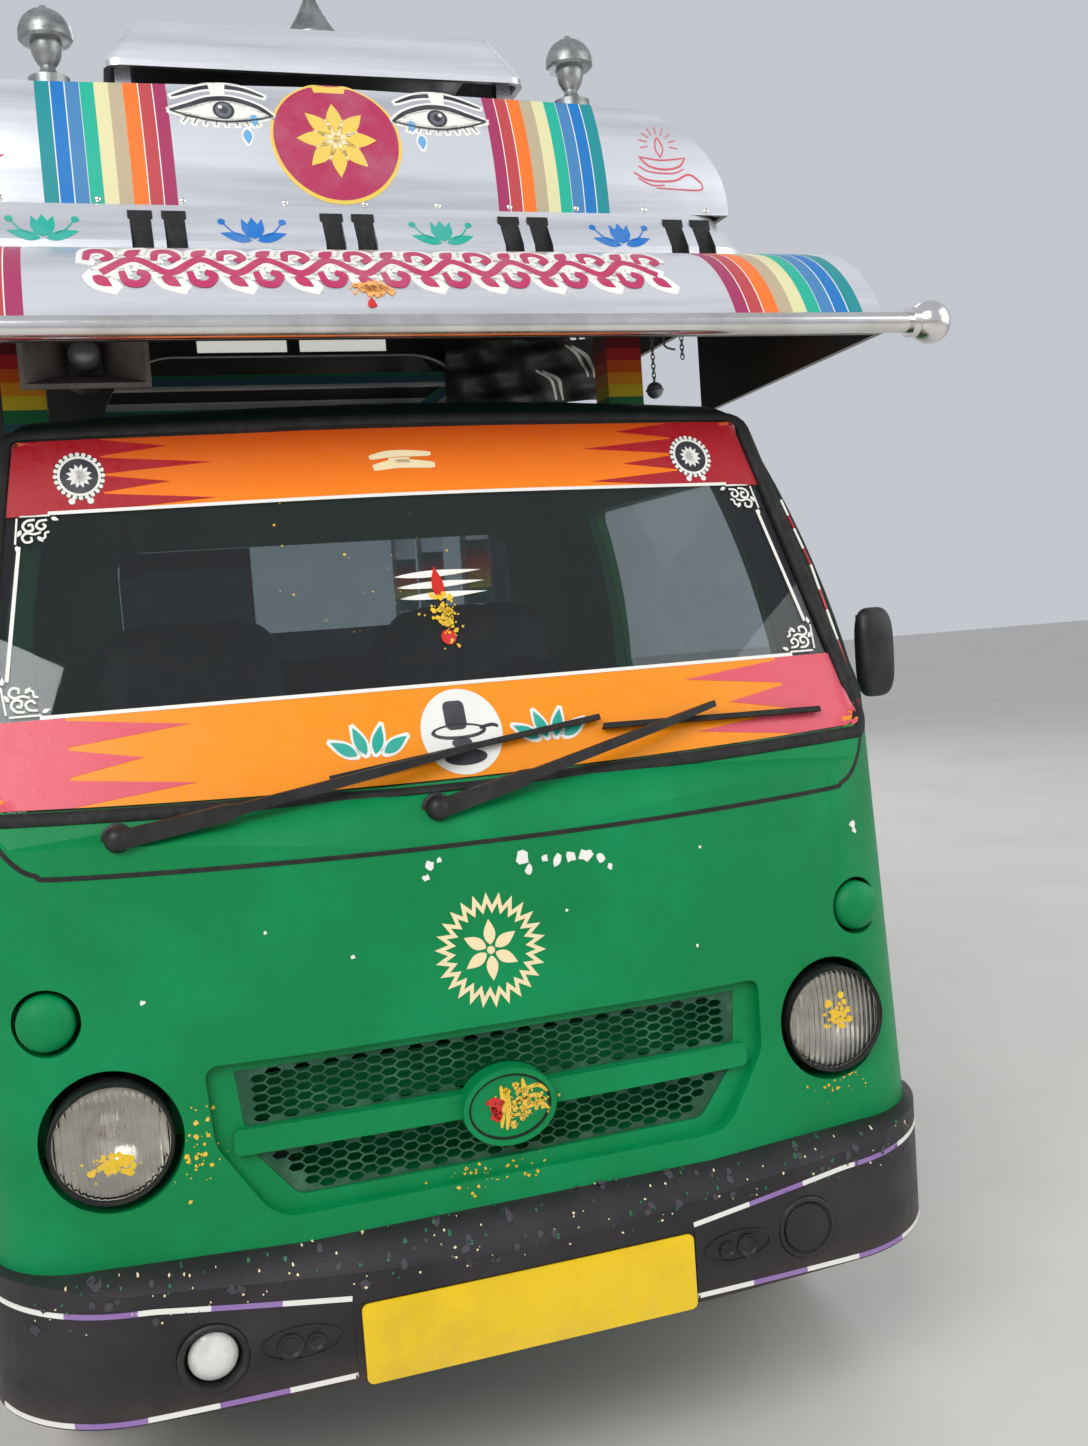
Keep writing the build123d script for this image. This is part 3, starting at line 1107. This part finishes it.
with BuildPart() as ridge_finial:
    with BuildSketch(Plane((0, NOSE + RIDGE_FINIAL_Y, 0), x_dir=(1, 0, 0), z_dir=(0, -1, 0))):
        with BuildLine():
            Polyline((0, VENT_TOP - 22), (62, VENT_TOP - 22), (62, VENT_TOP + 4))
            ThreePointArc((62, VENT_TOP + 4), (34, VENT_TOP + 44), (11, VENT_TOP + 88))
            ThreePointArc((11, VENT_TOP + 88), (32, RIDGE_FINIAL_TOP - 36), (7, RIDGE_FINIAL_TOP - 8))
            Polyline((7, RIDGE_FINIAL_TOP - 8), (5, RIDGE_FINIAL_TOP), (0, RIDGE_FINIAL_TOP),
                     (0, VENT_TOP - 22))
        make_face()
    revolve(axis=Axis((0, NOSE + RIDGE_FINIAL_Y, 0), (0, 0, 1)))

with BuildPart() as finials:
    for across, behind, foot in FINIALS:
        add(finial(across, behind, foot))
    add(ridge_finial.part)
    mirror(about=CANOPY_MIRROR)
    add(roof_solid, mode=Mode.SUBTRACT)
    add(vent_form(0), mode=Mode.SUBTRACT)
finials.part.label = "finials"
export_step(finials.part, "parts/finials.step")

# Canopy frame: posts on the cab roof and in the bed, tied by beams just under the band's top
BEAM = 40
BEAM_FOOT = BAND_TOP - BEAM
BEAM_HALF = 805 - CANOPY_SHEET - SEAT_GAP
LONG_BEAM_X = 680
REAR_POST_Y = 3680
POST_ROWS = (CAB_POST_Y, 1690, 2540, 3200)
with BuildPart() as canopy_frame:
    for row in POST_ROWS:
        post_x, foot = (CAB_POST_X, 1700) if row < CAB_BACK else (BED_POST_X, DECK_TOP)
        with Locations((post_x, NOSE + row, foot), (-post_x, NOSE + row, foot)):
            Box(POST, POST, BAND_TOP - foot, align=(Align.CENTER, Align.CENTER, Align.MIN))
        with Locations((0, NOSE + row, BEAM_FOOT)):
            Box(2 * BEAM_HALF, BEAM, BEAM, align=(Align.CENTER, Align.CENTER, Align.MIN))
    for side in (-1, 1):
        with Locations((side * LONG_BEAM_X, NOSE + CANOPY_MIDDLE, BEAM_FOOT)):
            Box(BEAM, BAND_REAR - BAND_FRONT - 300, BEAM, align=(Align.CENTER, Align.CENTER, Align.MIN))
    add(cab_skin, mode=Mode.SUBTRACT)

with BuildPart() as rear_posts:
    with Locations((BED_POST_X, NOSE + REAR_POST_Y, CHEEK_FOOT),
                   (-BED_POST_X, NOSE + REAR_POST_Y, CHEEK_FOOT)):
        Box(POST, POST, 400, align=(Align.CENTER, Align.CENTER, Align.MIN))
    with BuildSketch(Plane.XY.offset(CHEEK_FOOT)):
        with Locations((0, NOSE + REAR_POST_Y)):
            Rectangle(2 * BED_POST_X, 20)
    extrude(amount=400)
    add(mirror(under_visor, about=CANOPY_MIRROR, mode=Mode.PRIVATE), mode=Mode.INTERSECT)
    with Locations((BED_POST_X, NOSE + REAR_POST_Y, DECK_TOP), (-BED_POST_X, NOSE + REAR_POST_Y, DECK_TOP)):
        Box(POST, POST, CHEEK_FOOT - DECK_TOP, align=(Align.CENTER, Align.CENTER, Align.MIN))

with BuildPart() as whole_frame:
    add(canopy_frame.part)
    add(rear_posts.part)
whole_frame.part.label = "canopy_frame"
export_step(whole_frame.part, "parts/canopy_frame.step")

# Arched bulkhead at the front of the load space
ARCH_Y = 1625
ARCH_HALF, ARCH_TOP, ARCH_CORNER = 470, 2037, 180
with BuildPart() as arch_bulkhead:
    with BuildSketch(Plane.XZ.offset(-(NOSE + ARCH_Y))):
        with Locations((0, DECK_TOP)):
            Rectangle(2 * (BED_POST_X + POST / 2), BEAM_FOOT - DECK_TOP, align=(Align.CENTER, Align.MIN))
        with Locations((0, 1150)):
            Rectangle(2 * ARCH_HALF, ARCH_TOP - 1150, align=(Align.CENTER, Align.MIN), mode=Mode.SUBTRACT)
        with Locations((-125, 2066), (125, 2066)):
            Rectangle(222, 44, mode=Mode.SUBTRACT)
    extrude(amount=-(1690 - POST / 2 - ARCH_Y))
    corners = arch_bulkhead.edges().filter_by(Axis.Y).filter_by_position(Axis.Z, ARCH_TOP - 1, ARCH_TOP + 1)
    fillet(corners, radius=ARCH_CORNER)
arch_bulkhead.part.label = "arch_bulkhead"
export_step(arch_bulkhead.part, "parts/arch_bulkhead.step")

with BuildPart() as loudspeaker:
    with Locations((-500, NOSE + 600, 1836)):
        Box(205, 200, 130)
    with Locations((-500, NOSE + 600, 1880)):
        Box(30, 60, 200, align=(Align.CENTER, Align.CENTER, Align.MIN))
    add(under_visor, mode=Mode.INTERSECT)
loudspeaker.part.label = "loudspeaker"
export_step(loudspeaker.part, "parts/loudspeaker.step")

# Wipers: a pivot cap on the cowl, an arm to the blade's middle, and the blade along the screen's foot
WIPERS = (((-518, 1081), (-209, 1126), (232, 1179)), ((-60, 1078), (300, 1170), (625, 1157)))
with BuildPart() as wipers:
    for pivot, elbow, tip in WIPERS:
        with BuildSketch(Plane.XZ.offset(-(NOSE + 140))):
            with Locations(pivot):
                Circle(17)
        extrude(amount=40)
        reach = Vector(*elbow) - Vector(*pivot)
        with BuildSketch(Plane.XZ.offset(-(NOSE + 112))):
            with Locations(Location((pivot[0], pivot[1], 0), (0, 0, reach.get_angle(Vector(1, 0, 0))))):
                Rectangle(reach.length + 20, 12, align=(Align.MIN, Align.CENTER))
        extrude(amount=8)
        sweep_run = Vector(*tip) - Vector(*elbow)
        turn = sweep_run.get_signed_angle(Vector(1, 0, 0), Vector(0, 0, -1))
        with BuildSketch(Plane.XZ.offset(-(NOSE + 112))):
            with Locations(Location((elbow[0], elbow[1], 0), (0, 0, turn))):
                Rectangle(sweep_run.length, 16, align=(Align.MIN, Align.CENTER))
        extrude(amount=8)
    add(cab_skin, mode=Mode.SUBTRACT)
wipers.part.label = "wipers"
export_step(wipers.part, "parts/wipers.step")

with BuildPart() as mirrors:
    for side in (-1, 1):
        with Locations((side * 812, NOSE + 300, 1245)):
            Box(80, 45, 160)
        with Locations((side * 745, NOSE + 300, 1180)):
            Box(90, 20, 20)
    add(cab_skin, mode=Mode.SUBTRACT)
mirrors.part.label = "mirrors"
export_step(mirrors.part, "parts/mirrors.step")

with BuildPart() as tail_lamps:
    for side in (-1, 1):
        with Locations((side * 600, NOSE + 3752, 590)):
            Box(190, 34, 80, align=(Align.CENTER, Align.MIN, Align.CENTER))
        with Locations((side * 600, NOSE + 3748, 550)):
            Box(120, 5, 150, align=(Align.CENTER, Align.MIN, Align.MIN))
tail_lamps.part.label = "tail_lamps"
export_step(tail_lamps.part, "parts/tail_lamps.step")
